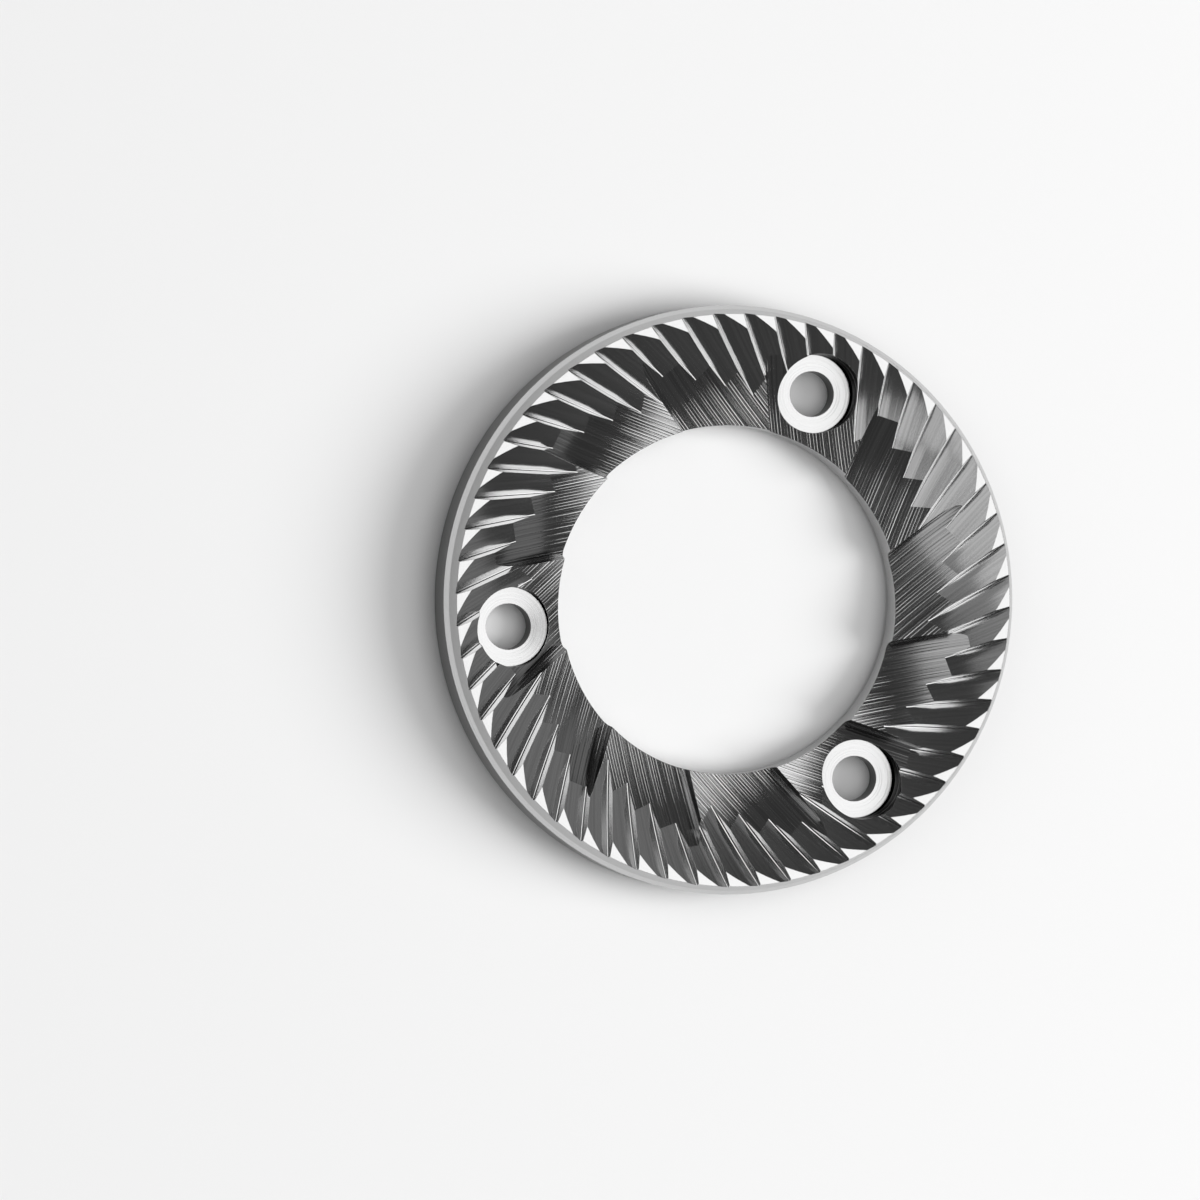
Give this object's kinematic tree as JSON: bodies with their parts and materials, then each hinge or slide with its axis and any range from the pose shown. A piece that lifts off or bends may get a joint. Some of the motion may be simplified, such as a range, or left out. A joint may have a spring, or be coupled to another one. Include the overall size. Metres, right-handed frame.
{
  "type": "coffee grinder burr",
  "caption": "Flat steel grinding burr: a ring with angled rim teeth, stepped breakers falling to a central bore, and counterbored screw holes.",
  "frame": {"origin": "centre of the flat back face", "axes": "+Z along the bore axis, out of the toothed face; +X through the first screw hole"},
  "size_m": [0.064, 0.064, 0.007],
  "materials": {
    "steel": "hardened tool steel, milled cuts with fine tool lines, ground land, turned bore and rim"
  },
  "bodies": {
    "root": {"burr": "steel"}
  },
  "joints": []
}
